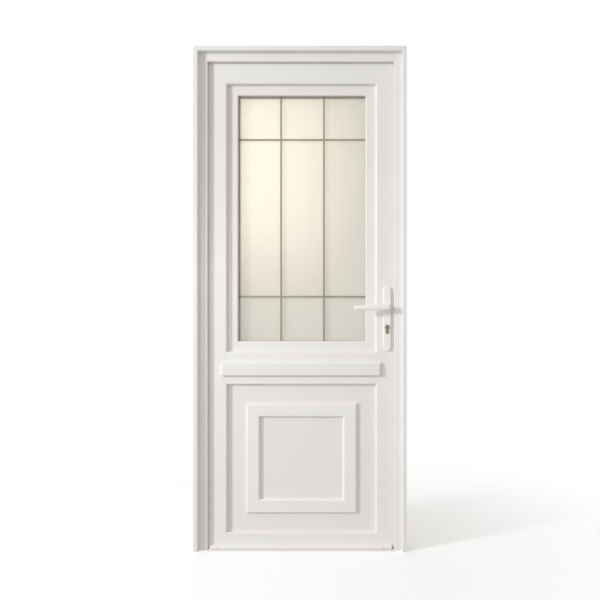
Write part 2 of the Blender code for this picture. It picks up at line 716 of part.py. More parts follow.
def lever_outline():
    """Flat foot, slightly bowed top, round hub end and smaller round tip."""
    drop = LEVER_HUB_RADIUS - LEVER_TIP_RADIUS
    hub = (HANDLE_X + LEVER_HEEL, HANDLE_HEIGHT)
    tip = (HANDLE_X - LEVER_REACH + LEVER_TIP_RADIUS, HANDLE_HEIGHT - drop)
    start = (hub[0], hub[1] + LEVER_HUB_RADIUS)
    end = (tip[0], tip[1] + LEVER_TIP_RADIUS)
    steps = CIRCLE_STEPS // 2
    top = []
    for step in range(1, steps):
        share = step / steps
        bow = LEVER_BULGE * 4 * share * (1 - share)
        top.append((start[0] + (end[0] - start[0]) * share,
                    start[1] + (end[1] - start[1]) * share + bow))
    return (arc(hub, LEVER_HUB_RADIUS, -90, 90, steps) + top
            + arc(tip, LEVER_TIP_RADIUS, 90, 270, steps))


def build_lever(name, face, outward):
    """Lever on one side of the leaf; outward is -1 outside and 1 inside."""
    outside = face + outward * LEVER_PROUD
    inside = outside - outward * LEVER_THICKNESS
    mesh = prism_mesh(lever_outline(), 'Y', inside, outside, LEVER_ROUND, 3)
    lever = add_mesh(name, mesh, PARTS, WHITE_COAT)
    seat = face + outward * (FIT + PLATE_THICKNESS + FIT)
    neck = prism_mesh(disc_outline(HANDLE_X, HANDLE_HEIGHT, NECK_RADIUS), 'Y',
                      seat, inside + outward * LEVER_ROUND)
    combine(lever, add_cutter(name + "_neck", neck), 'UNION')
    shade_round(lever)
    return lever


def build_spindle():
    """Square bar between the two levers' necks."""
    reach = FIT + PLATE_THICKNESS
    half = SPINDLE_SIDE / 2
    mesh = box_mesh((HANDLE_X - half, HANDLE_X + half), (LEAF_FRONT - reach, LEAF_BACK + reach),
                    (HANDLE_HEIGHT - half, HANDLE_HEIGHT + half))
    return add_mesh("spindle", mesh, PARTS, STEEL)


def build_cylinder():
    """Profile cylinder right through the leaf, standing proud of both plates."""
    reach = FIT + PLATE_THICKNESS + CYLINDER_PROUD
    mesh = prism_mesh(euro_outline(), 'Y', LEAF_FRONT - reach, LEAF_BACK + reach)
    cylinder = add_mesh("lock_cylinder", mesh, PARTS, BRASS)
    shade_round(cylinder)
    return cylinder


def build_plate_screws():
    """Two flat screw heads on the inner plate."""
    top = HANDLE_HEIGHT + PLATE_ABOVE_AXIS
    seat = LEAF_BACK + FIT + PLATE_THICKNESS + FIT
    places = (("plate_screw_upper", top - SCREW_INSET),
              ("plate_screw_lower", top - PLATE_LENGTH + SCREW_INSET))
    screws = []
    for name, z in places:
        mesh = prism_mesh(disc_outline(HANDLE_X, z, SCREW_RADIUS), 'Y', seat, seat + SCREW_HEAD)
        screw = add_mesh(name, mesh, PARTS, STEEL)
        shade_round(screw)
        screws.append(screw)
    return screws


def build_faceplate():
    """Lock faceplate let into the leaf's edge, with the latch's slot."""
    face = LEAF_X - FIT / 2
    middle = LATCH_Z - FACEPLATE_DROP
    plate = add_mesh("lock_faceplate", box_mesh(
        (face - FACEPLATE_THICKNESS + FIT / 2, face),
        (LATCH_DEPTH - FACEPLATE_WIDTH / 2, LATCH_DEPTH + FACEPLATE_WIDTH / 2),
        (middle - FACEPLATE_LENGTH / 2, middle + FACEPLATE_LENGTH / 2)), PARTS, STEEL)
    slot_depth = LATCH_THICKNESS / 2 + LATCH_PLAY
    slot_height = LATCH_HEIGHT / 2 + LATCH_PLAY
    slot = box_mesh((face - FACEPLATE_THICKNESS - CUT_OVER, face + CUT_OVER),
                    (LATCH_DEPTH - slot_depth, LATCH_DEPTH + slot_depth),
                    (LATCH_Z - slot_height, LATCH_Z + slot_height))
    combine(plate, add_cutter("faceplate_slot", slot), 'DIFFERENCE')
    return plate


def build_latch():
    """Latch bolt with its slanted face towards the stop."""
    tip = LEAF_X + LATCH_PROUD
    half = LATCH_THICKNESS / 2
    outline = [
        (tip - LATCH_LENGTH, LATCH_DEPTH - half),
        (tip - LATCH_PROUD, LATCH_DEPTH - half),
        (tip, LATCH_DEPTH + half - LATCH_NOSE_FLAT),
        (tip, LATCH_DEPTH + half),
        (tip - LATCH_LENGTH, LATCH_DEPTH + half),
    ]
    mesh = prism_mesh(outline, 'Z', LATCH_Z - LATCH_HEIGHT / 2, LATCH_Z + LATCH_HEIGHT / 2)
    return add_mesh("latch_bolt", mesh, PARTS, STEEL)


def knuckle(low, high, radius=HINGE_RADIUS):
    return prism_mesh([(HINGE_X + x, HINGE_DEPTH + depth)
                       for x, depth in disc_outline(0.0, 0.0, radius)], 'Z', low, high)


def build_hinge(name, height):
    """Frame half with the pin below, leaf half turning on it above."""
    low = height - HINGE_LENGTH / 2
    high = height + HINGE_LENGTH / 2
    frame_face = FRAME_DEPTH + FIT
    leaf_face = LEAF_BACK + FIT
    arm_x = (HINGE_X - HINGE_RADIUS, HINGE_X + HINGE_ARM_REACH)

    lower = knuckle(low, height - HINGE_SPLIT / 2)
    frame_half = add_mesh(name + "_frame_half", lower, PARTS, WHITE_COAT)
    arm = box_mesh(arm_x, (frame_face, HINGE_DEPTH), (low, height - HINGE_SPLIT / 2))
    combine(frame_half, add_cutter(name + "_frame_arm", arm), 'UNION')
    pin = knuckle(height - HINGE_RADIUS, high - HINGE_WING_THICKNESS, HINGE_PIN_RADIUS)
    combine(frame_half, add_cutter(name + "_pin", pin), 'UNION')
    shade_round(frame_half)

    upper = knuckle(height + HINGE_SPLIT / 2, high)
    leaf_half = add_mesh(name + "_leaf_half", upper, PARTS, WHITE_COAT)
    wing_start = HINGE_X + HINGE_RADIUS + HINGE_WING_CLEAR
    wing_depth = (leaf_face, leaf_face + HINGE_WING_THICKNESS)
    arm = box_mesh((HINGE_X, wing_start + HINGE_WING_CLEAR), wing_depth,
                   (height + HINGE_SPLIT / 2, high))
    combine(leaf_half, add_cutter(name + "_leaf_arm", arm), 'UNION')
    wing = box_mesh((wing_start, wing_start + HINGE_WING_WIDTH), wing_depth, (low, high))
    combine(leaf_half, add_cutter(name + "_leaf_wing", wing), 'UNION')
    bore = knuckle(height - CUT_OVER, high - HINGE_WING_THICKNESS + FIT,
                   HINGE_PIN_RADIUS + HINGE_PIN_PLAY)
    combine(leaf_half, add_cutter(name + "_bore", bore), 'DIFFERENCE')
    shade_round(leaf_half)
    return frame_half, leaf_half


def build_door():
    """Build every piece and hang it on its joint's pivot."""
    build_frame()
    build_threshold()
    build_frame_seal()
    build_keep_plate()

    leaf = [build_leaf_frame(), build_transom(), build_leaf_seal()]
    leaf += build_beads("bead_outer", upper_rebate(), BEAD_WIDTH,
                        LIP_BACK + FIT, LIP_BACK + BEAD_DEPTH, True)
    leaf += build_beads("bead_inner", upper_rebate(), BEAD_WIDTH,
                        PANE_INNER_BACK + FIT + GASKET_THICKNESS, LEAF_BACK, False)
    leaf.append(build_gasket("gasket_outer", LIP_BACK + BEAD_DEPTH, GASKET_BACK))
    leaf.append(build_gasket("gasket_inner", PANE_INNER_BACK, PANE_INNER_BACK + FIT
                             + GASKET_THICKNESS))
    leaf += build_glazing()
    leaf.append(build_lower_panel())
    panel_back = LIP_BACK + FIT + PANEL_THICKNESS
    leaf += build_beads("panel_bead", lower_rebate(), PANEL_BEAD_WIDTH,
                        panel_back + FIT, LEAF_BACK, False)
    leaf.append(build_ledge())
    leaf += build_weather_bar()
    plate_out = FIT + PLATE_THICKNESS
    leaf.append(build_plate("handle_plate_outer", LEAF_FRONT - FIT, LEAF_FRONT - plate_out))
    leaf.append(build_plate("handle_plate_inner", LEAF_BACK + FIT, LEAF_BACK + plate_out))
    leaf += build_plate_screws()
    leaf += [build_cylinder(), build_faceplate()]
    for name, height in (("hinge_lower", HINGE_LOW), ("hinge_middle", HINGE_MIDDLE),
                         ("hinge_upper", HINGE_HIGH)):
        leaf.append(build_hinge(name, height)[1])

    handle = [build_lever("lever_outer", LEAF_FRONT, -1),
              build_lever("lever_inner", LEAF_BACK, 1),
              build_spindle()]
    latch = [build_latch()]

    hinge_place = Vector((HINGE_X, at(HINGE_DEPTH), 0.0))
    handle_place = Vector((HANDLE_X, at(LATCH_DEPTH), HANDLE_HEIGHT))
    latch_place = Vector((LEAF_X, at(LATCH_DEPTH), LATCH_Z))
    leaf_pivot = add_pivot("leaf_pivot", hinge_place)
    parent_to(leaf_pivot, hinge_place, leaf)
    handle_pivot = add_pivot("handle_pivot", handle_place, leaf_pivot, hinge_place)
    parent_to(handle_pivot, handle_place, handle)
    latch_pivot = add_pivot("latch_pivot", latch_place, leaf_pivot, hinge_place)
    parent_to(latch_pivot, latch_place, latch)


clear_scene()
PARTS = new_collection("pvc_front_door")
CUTTERS = new_collection("cutters")
WHITE_PVC = finish("white_pvc", (0.84, 0.83, 0.81), 0.35)
WHITE_COAT = finish("white_coat", (0.86, 0.85, 0.83), 0.30)
RUBBER = finish("rubber", (0.12, 0.12, 0.12), 0.75)
ALUMINIUM = finish("aluminium", (0.62, 0.62, 0.61), 0.40, 1.0)
STEEL = finish("steel", (0.58, 0.58, 0.57), 0.35, 1.0)
BRASS = finish("brass", (0.42, 0.36, 0.22), 0.45, 1.0)
FROSTED_GLASS = finish("frosted_glass", (0.90, 0.86, 0.76), 0.50)
build_door()
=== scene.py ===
import json
import math

import bmesh
import bpy
from bpy.props import FloatProperty, FloatVectorProperty
from mathutils import Matrix, Vector

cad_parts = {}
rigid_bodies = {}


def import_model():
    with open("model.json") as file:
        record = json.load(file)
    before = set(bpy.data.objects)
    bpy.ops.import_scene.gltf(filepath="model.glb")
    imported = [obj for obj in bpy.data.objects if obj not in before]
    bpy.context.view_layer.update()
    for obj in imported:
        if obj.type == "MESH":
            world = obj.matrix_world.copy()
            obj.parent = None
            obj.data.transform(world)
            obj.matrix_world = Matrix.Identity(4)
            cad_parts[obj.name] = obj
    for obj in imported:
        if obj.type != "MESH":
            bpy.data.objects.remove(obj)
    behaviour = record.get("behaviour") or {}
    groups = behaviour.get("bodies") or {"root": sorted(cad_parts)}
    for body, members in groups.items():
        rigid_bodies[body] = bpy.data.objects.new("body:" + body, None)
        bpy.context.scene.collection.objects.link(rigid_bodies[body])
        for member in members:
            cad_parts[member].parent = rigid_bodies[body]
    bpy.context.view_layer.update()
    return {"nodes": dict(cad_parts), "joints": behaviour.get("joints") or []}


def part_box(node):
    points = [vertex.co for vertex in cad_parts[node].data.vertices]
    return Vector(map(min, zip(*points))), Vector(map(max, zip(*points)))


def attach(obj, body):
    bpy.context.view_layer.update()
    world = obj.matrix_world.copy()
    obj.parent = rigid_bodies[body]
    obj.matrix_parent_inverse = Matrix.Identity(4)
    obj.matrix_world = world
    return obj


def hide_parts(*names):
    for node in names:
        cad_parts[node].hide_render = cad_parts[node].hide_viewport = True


bl_info = {
    "name": "PVC front door",
    "version": (1, 0, 0),
    "blender": (4, 5, 0),
    "location": "View3D > Sidebar > Front Door",
    "description": "Dresses a half-glazed PVC front door with its finishes, fittings and stage",
    "category": "Object",
}

for leftover in list(bpy.data.objects):
    bpy.data.objects.remove(leftover, do_unlink=True)
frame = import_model()
NODES = frame["nodes"]

MM = 0.001
WELD_DISTANCE = 0.01 * MM           # points nearer than this are one
ARRIS_ANGLE = math.radians(40.0)    # sharper edges of the CAD nodes get an arris
SMOOTH_ANGLE = math.radians(35.0)   # sharper edges of the new pieces stay crisp
ROUND_STEPS = 48
CUT_OVER = 1.0 * MM                 # how far a cutter runs past a face
POLE_RADIUS = 0.2 * MM              # smallest ring at the end of a turned piece

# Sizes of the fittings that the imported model's boxes don't give
HUB_RADIUS = 12.0 * MM
TIP_RADIUS = 9.5 * MM
LEVER_BOW = 1.5 * MM
LEVER_THICKNESS = 13.0 * MM
LEVER_SQUARENESS = 0.72             # 1 is a plain oval section, less is squarer
LEVER_END_STEPS = 12
LEVER_BAR_STEPS = 24
LEVER_RING_STEPS = 32
LEVER_END_TURN = 88.0               # degrees drawn of each round end
LEVER_END_FALL = 0.6                # how quickly the thickness falls off there
NECK_RADIUS = 10.0 * MM
NECK_WAIST = 1.2 * MM
NECK_EDGE = 0.4 * MM
NECK_FOOT = 2.0 * MM
PLATE_ROLL = 3.0 * MM
SPINDLE_HOLE = 6.9 * MM
STEM_RADIUS = 6.0 * MM
CYLINDER_PLAY = 0.5 * MM
CYLINDER_EDGE = 0.4 * MM
PLUG_RADIUS = 7.2 * MM
PLUG_GROOVE = 0.5 * MM
KEYWAY_WIDTH = 1.8 * MM
KEYWAY_DEPTH = 5.0 * MM
# Across in half widths of the keyway, up in radii of the plug
KEYWAY_OUTLINE = ((-1.0, -0.5), (1.0, -0.5), (1.0, -0.1), (2.2, 0.0), (1.0, 0.1), (1.0, 0.62),
                  (-1.0, 0.62), (-1.0, 0.2), (-2.2, 0.1), (-1.0, 0.0))
HINGE_RADIUS = 9.0 * MM
HINGE_SPLIT = 1.0 * MM
DOME = 3.0 * MM
SOFT_EDGE = 0.5 * MM
ARM_REACH = 6.0 * MM
ARM_CORNER = 0.3 * MM
ARM_LAP = 6.0 * MM
PIN_RADIUS = 4.0 * MM
PIN_PLAY = 0.4 * MM
PIN_LENGTH = 45.0 * MM
PIN_DROP = 5.0 * MM                 # the pin starts this far below the split
BORE_DROP = 4.0 * MM                # and its bore this far
WING_THICKNESS = 4.0 * MM
WING_WIDTH = 40.0 * MM
WING_CORNER = 5.0 * MM
WING_EDGE = 1.0 * MM
WING_SCREW_PLACE = 0.55             # share of the wing's width
WING_SCREW_END = 16.0 * MM          # from the wing's ends to the outer screws
SCREW_COVER = 4.5 * MM
SCREW_SEAT = 1.0 * MM
SCREW_RIM = 0.1 * MM
SCREW_DOME = 0.5 * MM
SCREW_TOP = 0.3 * MM                # smallest ring at the top of a screw head
HEAD_RIM = 0.2 * MM
CROSS_LENGTH = 0.55                 # half the cross recess, as shares of the head's radius
CROSS_WIDTH = 0.14
CROSS_DEPTH = 0.65                  # share of the head's height

# The stage, in metres
FLOOR_RADIUS = 1.9
FLOOR_FADE = (0.1, 0.98)            # shares of the radius between which it fades out
FLOOR_GLOW = 0.15
SKY_COLOUR = (1.0, 0.974, 0.943, 1.0)   # linear values of the even light, slightly warm
SKY_RISE = (-0.5, 0.8)              # upward share of the direction, from low to high light
FRONT_PLACE = (-1.5, -3.0, 1.4)
FRONT_TARGET = (0.0, 0.0, 0.78)
FRONT_CONE = math.radians(38.0)
FRONT_SOFTNESS = 0.35
SENSOR_WIDTH = 36.0                 # millimetres, as Blender's cameras count

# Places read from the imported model
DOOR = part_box("frame")
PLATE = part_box("handle_plate_outer")
PLATE_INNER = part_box("handle_plate_inner")
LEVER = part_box("lever_outer")
LEVER_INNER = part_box("lever_inner")
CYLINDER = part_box("lock_cylinder")
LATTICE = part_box("lattice")
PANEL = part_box("lower_panel")
HANDLE_AXIS = Vector(next(joint["pos_m"] for joint in frame["joints"]
                          if joint["name"] == "handle_turn"))
HINGE_AXIS = Vector(next(joint["pos_m"] for joint in frame["joints"]
                         if joint["name"] == "door_swing"))

# Most of a noise's values lie between these
NOISE_RANGE = {"From Min": 0.3, "From Max": 0.7}


def linear(code):
    """An sRGB hex colour as Blender's linear values."""
    parts = [int(code[start:start + 2], 16) / 255 for start in (0, 2, 4)]
    return tuple(part / 12.92 if part <= 0.04045 else ((part + 0.055) / 1.055) ** 2.4
                 for part in parts)


def add_node(tree, kind, inputs=None, out=0, into=None, **settings):
    """Add a node and return its output; inputs are values or the sockets that feed them."""
    made = tree.nodes.new(kind)
    for key, value in settings.items():
        setattr(made, key, value)
    for key, value in (inputs or {}).items():
        if isinstance(value, bpy.types.NodeSocket):
            tree.links.new(value, made.inputs[key])
        else:
            made.inputs[key].default_value = value
    if into is not None:
        tree.links.new(made.outputs[out], into)
    return made.outputs[out]


def new_finish(name, colour, roughness, **constants):
    """A material whose constant values sit on the shader itself."""
    material = bpy.data.materials.new(name)
    material.use_nodes = True
    surface = material.node_tree.nodes["Principled BSDF"].inputs
    surface["Base Color"].default_value = (*colour, 1.0)
    surface["Roughness"].default_value = roughness
    for key, value in constants.items():
        surface[key.replace("_", " ")].default_value = value
    return material, material.node_tree, surface


def run_colour(tree, surface, value, dark, light, start=0.3, end=0.7):
    """Run the surface's colour from dark to light as value goes from start to end."""
    share = add_node(tree, "ShaderNodeMapRange",
                     {"Value": value, "From Min": start, "From Max": end})
    add_node(tree, "ShaderNodeMix", {"Factor": share, 6: (*dark, 1.0), 7: (*light, 1.0)}, 2,
             surface["Base Color"], data_type='RGBA')


def extruded_pvc(settings):
    """White unplasticised PVC, extruded: smooth, faintly drawn along its length."""
    material, tree, surface = new_finish("extruded_white_pvc", settings.pvc_colour, 0.34,
                                         IOR=1.53)
    place = add_node(tree, "ShaderNodeTexCoord", out="Object")
    cloud = add_node(tree, "ShaderNodeTexNoise",
                     {"Vector": place, "Scale": 1 / (180 * MM), "Detail": 3.0})
    run_colour(tree, surface, cloud, settings.pvc_shade, settings.pvc_colour, 0.25, 0.75)
    gloss = add_node(tree, "ShaderNodeTexNoise", {"Vector": place, "Scale": 1 / (60 * MM)})
    add_node(tree, "ShaderNodeMapRange",
             {"Value": gloss, "To Min": 0.29, "To Max": 0.40, **NOISE_RANGE},
             into=surface["Roughness"])
    # Die lines a few tenths of a millimetre apart, drawn 3 mm wide so that they show
    along = add_node(tree, "ShaderNodeMapping", {"Vector": place, "Scale": (1.0, 1.0, 0.004)})
    drawn = add_node(tree, "ShaderNodeTexNoise",
                     {"Vector": along, "Scale": 1 / (3 * MM), "Detail": 3.0})
    add_node(tree, "ShaderNodeBump", {"Height": drawn, "Distance": 0.05 * MM, "Strength": 0.35},
             into=surface["Normal"])
    return material


def pressed_pvc(settings):
    """White PVC skin, pressed over a foam core: the same white, with a slight waviness and painted
    shade on its recessed ground.
    """
    material, tree, surface = new_finish("pressed_white_pvc", settings.pvc_colour, 0.36,
                                         IOR=1.53)
    place = add_node(tree, "ShaderNodeTexCoord", out="Object")
    # Painted shade: the recessed ground is painted a darker white than the raised squares
    depth = add_node(tree, "ShaderNodeSeparateXYZ", {"Vector": place}, "Y")
    height = add_node(tree, "ShaderNodeMath", {0: depth, 1: (PANEL[0].y + PANEL[1].y) / 2},
                      operation='SUBTRACT')
    height = add_node(tree, "ShaderNodeMath", {0: height}, operation='ABSOLUTE')
    cloud = add_node(tree, "ShaderNodeTexNoise",
                     {"Vector": place, "Scale": 1 / (120 * MM), "Detail": 3.0})
    cloud = add_node(tree, "ShaderNodeMapRange",
                     {"Value": cloud, "To Min": -1.5 * MM, "To Max": 1.5 * MM, **NOISE_RANGE})
    height = add_node(tree, "ShaderNodeMath", {0: height, 1: cloud}, operation='ADD')
    crest = (PANEL[1].y - PANEL[0].y) / 2
    run_colour(tree, surface, height, settings.panel_ground_painted_shade, settings.pvc_colour,
               crest - 11 * MM, crest - 3 * MM)
    wave = add_node(tree, "ShaderNodeTexNoise",
                    {"Vector": place, "Scale": 1 / (90 * MM), "Detail": 1.0})
    wave = add_node(tree, "ShaderNodeBump",
                    {"Height": wave, "Distance": 0.25 * MM, "Strength": 0.5})
    fine = add_node(tree, "ShaderNodeTexNoise", {"Vector": place, "Scale": 1 / (2 * MM)})
    add_node(tree, "ShaderNodeBump",
             {"Height": fine, "Distance": 0.03 * MM, "Strength": 0.3, "Normal": wave},
             into=surface["Normal"])
    return material


def powder_coat(settings):
    """White polyester powder coat on a zinc casting: a fine orange peel under soft gloss."""
    material, tree, surface = new_finish("powder_coated_white", settings.coat_colour, 0.30,
                                         IOR=1.50)
    place = add_node(tree, "ShaderNodeTexCoord", out="Object")
    peel = add_node(tree, "ShaderNodeTexNoise", {"Vector": place, "Scale": 1 / (1.6 * MM)})
    add_node(tree, "ShaderNodeBump", {"Height": peel, "Distance": 0.05 * MM, "Strength": 0.35},
             into=surface["Normal"])
    gloss = add_node(tree, "ShaderNodeTexNoise", {"Vector": place, "Scale": 1 / (14 * MM)})
    add_node(tree, "ShaderNodeMapRange",
             {"Value": gloss, "To Min": 0.26, "To Max": 0.36, **NOISE_RANGE},
             into=surface["Roughness"])
    return material


def satin_brass(settings):
    """Brass, turned and brushed, gone dull outdoors."""
    material, tree, surface = new_finish("satin_brass", settings.brass_colour, 0.42,
                                         Metallic=0.75)
    place = add_node(tree, "ShaderNodeTexCoord", out="Object")
    mottle = add_node(tree, "ShaderNodeTexNoise", {"Vector": place, "Scale": 1 / (5 * MM)})
    run_colour(tree, surface, mottle, settings.brass_shade, settings.brass_colour)
    along = add_node(tree, "ShaderNodeMapping", {"Vector": place, "Scale": (1.0, 0.15, 1.0)})
    grain = add_node(tree, "ShaderNodeTexNoise",
                     {"Vector": along, "Scale": 1 / (0.6 * MM), "Detail": 3.0})
    add_node(tree, "ShaderNodeBump", {"Height": grain, "Distance": 0.03 * MM, "Strength": 0.4},
             into=surface["Normal"])
    add_node(tree, "ShaderNodeMapRange",
             {"Value": grain, "To Min": 0.34, "To Max": 0.50, **NOISE_RANGE},
             into=surface["Roughness"])
    return material


def anodised_bars(settings):
    """Aluminium bars anodised to dull brass, finely drawn along their length, with painted shade
    darkening them towards their foot.
    """
    material, tree, surface = new_finish("anodised_brass_bars", settings.bar_colour, 0.48,
                                         Metallic=0.35)
    place = add_node(tree, "ShaderNodeTexCoord", out="Object")
    height = add_node(tree, "ShaderNodeSeparateXYZ", {"Vector": place}, "Z")
    # Painted shade: the bars are painted darker towards their foot
    run_colour(tree, surface, height, settings.bar_painted_shade, settings.bar_colour,
               LATTICE[0].z, LATTICE[1].z)
    along = add_node(tree, "ShaderNodeMapping", {"Vector": place, "Scale": (0.05, 1.0, 0.05)})
    drawn = add_node(tree, "ShaderNodeTexNoise", {"Vector": along, "Scale": 1 / (1.0 * MM)})
    add_node(tree, "ShaderNodeMapRange",
             {"Value": drawn, "To Min": 0.40, "To Max": 0.55, **NOISE_RANGE},
             into=surface["Roughness"])
    return material


def seal_rubber(name, colour, shade):
    """EPDM seal rubber, extruded and matt, with a little bloom."""
    material, tree, surface = new_finish(name, colour, 0.70, IOR=1.48)
    place = add_node(tree, "ShaderNodeTexCoord", out="Object")
    bloom = add_node(tree, "ShaderNodeTexNoise",
                     {"Vector": place, "Scale": 1 / (12 * MM), "Detail": 3.0})
    run_colour(tree, surface, bloom, shade, colour)
    fine = add_node(tree, "ShaderNodeTexNoise", {"Vector": place, "Scale": 1 / (0.8 * MM)})
    add_node(tree, "ShaderNodeBump", {"Height": fine, "Distance": 0.04 * MM, "Strength": 0.5},
             into=surface["Normal"])
    return material


def clear_glass():
    """Float glass: a clear polished pane, with faint wipe marks in its reflections."""
    material, tree, surface = new_finish("clear_float_glass", linear("F6FAF8"), 0.03, IOR=1.52,
                                         Alpha=0.07)
    place = add_node(tree, "ShaderNodeTexCoord", out="Object")
    along = add_node(tree, "ShaderNodeMapping", {"Vector": place, "Scale": (0.3, 1.0, 1.0)})
    wipes = add_node(tree, "ShaderNodeTexNoise",
                     {"Vector": along, "Scale": 1 / (70 * MM), "Detail": 3.0})
    add_node(tree, "ShaderNodeMapRange",
             {"Value": wipes, "To Min": 0.02, "To Max": 0.07, **NOISE_RANGE},
             into=surface["Roughness"])
    return material


def etched_glass(settings):
    """Acid-etched glass: satin, lets light through and blurs everything behind it."""
    material, tree, surface = new_finish("acid_etched_glass", settings.glass_colour, 0.55,
                                         IOR=1.50, Transmission_Weight=settings.glass_passes)
    place = add_node(tree, "ShaderNodeTexCoord", out="Object")
    etch = add_node(tree, "ShaderNodeTexNoise", {"Vector": place, "Scale": 1 / (1.2 * MM)})
    add_node(tree, "ShaderNodeBump", {"Height": etch, "Distance": 0.04 * MM, "Strength": 0.3},
             into=surface["Normal"])
    return material


def matt_spacer():
    """Spacer between the panes: pale matt anodised aluminium, faintly drawn."""
    material, tree, surface = new_finish("matt_spacer", linear("E2E0DB"), 0.60, Metallic=0.1)
    place = add_node(tree, "ShaderNodeTexCoord", out="Object")
    along = add_node(tree, "ShaderNodeMapping", {"Vector": place, "Scale": (0.02, 1.0, 0.02)})
    drawn = add_node(tree, "ShaderNodeTexNoise", {"Vector": along, "Scale": 1 / (1.5 * MM)})
    run_colour(tree, surface, drawn, linear("DAD8D3"), linear("E6E4DF"))
    add_node(tree, "ShaderNodeBump", {"Height": drawn, "Distance": 0.03 * MM, "Strength": 0.4},
             into=surface["Normal"])
    return material


def zinc_steel():
    """Steel, zinc plated: cool grey with a soft crystal mottle."""
    material, tree, surface = new_finish("zinc_plated_steel", linear("BDBDBB"), 0.34,
                                         Metallic=1.0)
    place = add_node(tree, "ShaderNodeTexCoord", out="Object")
    mottle = add_node(tree, "ShaderNodeTexNoise",
                      {"Vector": place, "Scale": 1 / (4 * MM), "Detail": 3.0})
    run_colour(tree, surface, mottle, linear("A9A9A8"), linear("C6C6C4"))
    add_node(tree, "ShaderNodeMapRange",
             {"Value": mottle, "To Min": 0.28, "To Max": 0.42, **NOISE_RANGE},
             into=surface["Roughness"])
    return material


FINISHES = {}


def make_finishes(settings):
    """Make every finish once, under the short name that the pieces ask for."""
    FINISHES.update({
        "pvc": extruded_pvc(settings),
        "panel": pressed_pvc(settings),
        "coat": powder_coat(settings),
        "brass": satin_brass(settings),
        "bars": anodised_bars(settings),
        "rubber": seal_rubber("epdm_seal_rubber", settings.seal_colour, settings.seal_shade),
        "gasket": seal_rubber("glazing_gasket_rubber", settings.gasket_colour,
                              settings.gasket_shade),
        "spacer": matt_spacer(),
        "clear": clear_glass(),
        "etched": etched_glass(settings),
        "steel": zinc_steel(),
    })


def dress_node(name, finish, round_by):
    """Give a CAD node its finish, soft arrises and smooth shading; its mesh stays as it is."""
    item = NODES[name]
    item.data.materials.clear()
    item.data.materials.append(FINISHES[finish])
    for polygon in item.data.polygons:
        polygon.use_smooth = True
    weld = item.modifiers.new("weld", 'WELD')
    weld.merge_threshold = WELD_DISTANCE
    if round_by > 0.0:
        bevel = item.modifiers.new("arris", 'BEVEL')
        bevel.width = round_by
        bevel.segments = 2
        bevel.limit_method = 'ANGLE'
        bevel.angle_limit = ARRIS_ANGLE
        bevel.use_clamp_overlap = True
    normals = item.modifiers.new("flat_faces", 'WEIGHTED_NORMAL')
    normals.keep_sharp = True


def new_piece(node, bm, finish, body):
    """A finer mesh piece that stands for a CAD node and rides on its body."""
    name = node + "_shape"
    bmesh.ops.recalc_face_normals(bm, faces=bm.faces)
    mesh = bpy.data.meshes.new(name)
    bm.to_mesh(mesh)
    bm.free()
    mesh.shade_smooth()
    mesh.set_sharp_from_angle(angle=SMOOTH_ANGLE)
    mesh.materials.append(FINISHES[finish])
    piece = bpy.data.objects.new(name, mesh)
    bpy.context.scene.collection.objects.link(piece)
    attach(piece, body)
    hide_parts(node)
    return piece


def arc(centre, radius, start, end, steps):
    """Points on an arc, both ends included, angles in degrees."""
    turns = [math.radians(start + (end - start) * step / steps) for step in range(steps + 1)]
    return [(centre[0] + radius * math.cos(turn), centre[1] + radius * math.sin(turn))
            for turn in turns]


def prism(outline, start, end, round_start=0.0, round_end=0.0, segments=3):
    """An (x, z) outline pushed along Y from start to end, with rounded end edges."""
    bm = bmesh.new()
    near = [bm.verts.new((x, start, z)) for x, z in outline]
    far = [bm.verts.new((x, end, z)) for x, z in outline]
    count = len(outline)
    first = bm.faces.new(near)
    last = bm.faces.new(list(reversed(far)))
    for index in range(count):
        onward = (index + 1) % count
        bm.faces.new((near[index], far[index], far[onward], near[onward]))
    bmesh.ops.recalc_face_normals(bm, faces=bm.faces)
    for face, width in ((first, round_start), (last, round_end)):
        if width > 0.0 and face.is_valid:
            bmesh.ops.bevel(bm, geom=list(face.edges), offset=width, segments=segments,
                            profile=0.5, affect='EDGES', clamp_overlap=True)
    return bm


def merged(*parts):
    """Several bmeshes in one."""
    whole = bmesh.new()
    for part in parts:
        keep = bpy.data.meshes.new("part")
        part.to_mesh(keep)
        part.free()
        whole.from_mesh(keep)
        bpy.data.meshes.remove(keep)
    return whole


def cut_piece(piece, cutters, operation='DIFFERENCE'):
    """Apply Boolean cuts to a piece at once and drop the cutters."""
    for bm in cutters:
        bmesh.ops.recalc_face_normals(bm, faces=bm.faces)
        mesh = bpy.data.meshes.new("cutter")
        bm.to_mesh(mesh)
        bm.free()
        cutter = bpy.data.objects.new("cutter", mesh)
        bpy.context.scene.collection.objects.link(cutter)
        modifier = piece.modifiers.new("cut", 'BOOLEAN')
        modifier.operation = operation
        modifier.solver = 'EXACT'
        modifier.object = cutter
        bpy.context.view_layer.update()
        shaped = bpy.data.meshes.new_from_object(
            piece.evaluated_get(bpy.context.evaluated_depsgraph_get()))
        piece.modifiers.clear()
        old = piece.data
        piece.data = shaped
        bpy.data.meshes.remove(old)
        bpy.data.objects.remove(cutter, do_unlink=True)
        bpy.data.meshes.remove(mesh)
    piece.data.set_sharp_from_angle(angle=SMOOTH_ANGLE)


def spun(profile, centre, steps=ROUND_STEPS):
    """A closed body turned about the Y axis through centre, from (radius, y) pairs."""
    bm = bmesh.new()
    rings = []
    for radius, y in profile:
        rings.append([bm.verts.new((x, y, z))
                      for x, z in arc(centre, radius, 0, 360, steps)[:-1]])
    for ring, following in zip(rings, rings[1:]):
        for index in range(steps):
            onward = (index + 1) % steps
            bm.faces.new((ring[index], ring[onward], following[onward], following[index]))
    bm.faces.new(list(reversed(rings[0])))
    bm.faces.new(rings[-1])
    bmesh.ops.recalc_face_normals(bm, faces=bm.faces)
    return bm


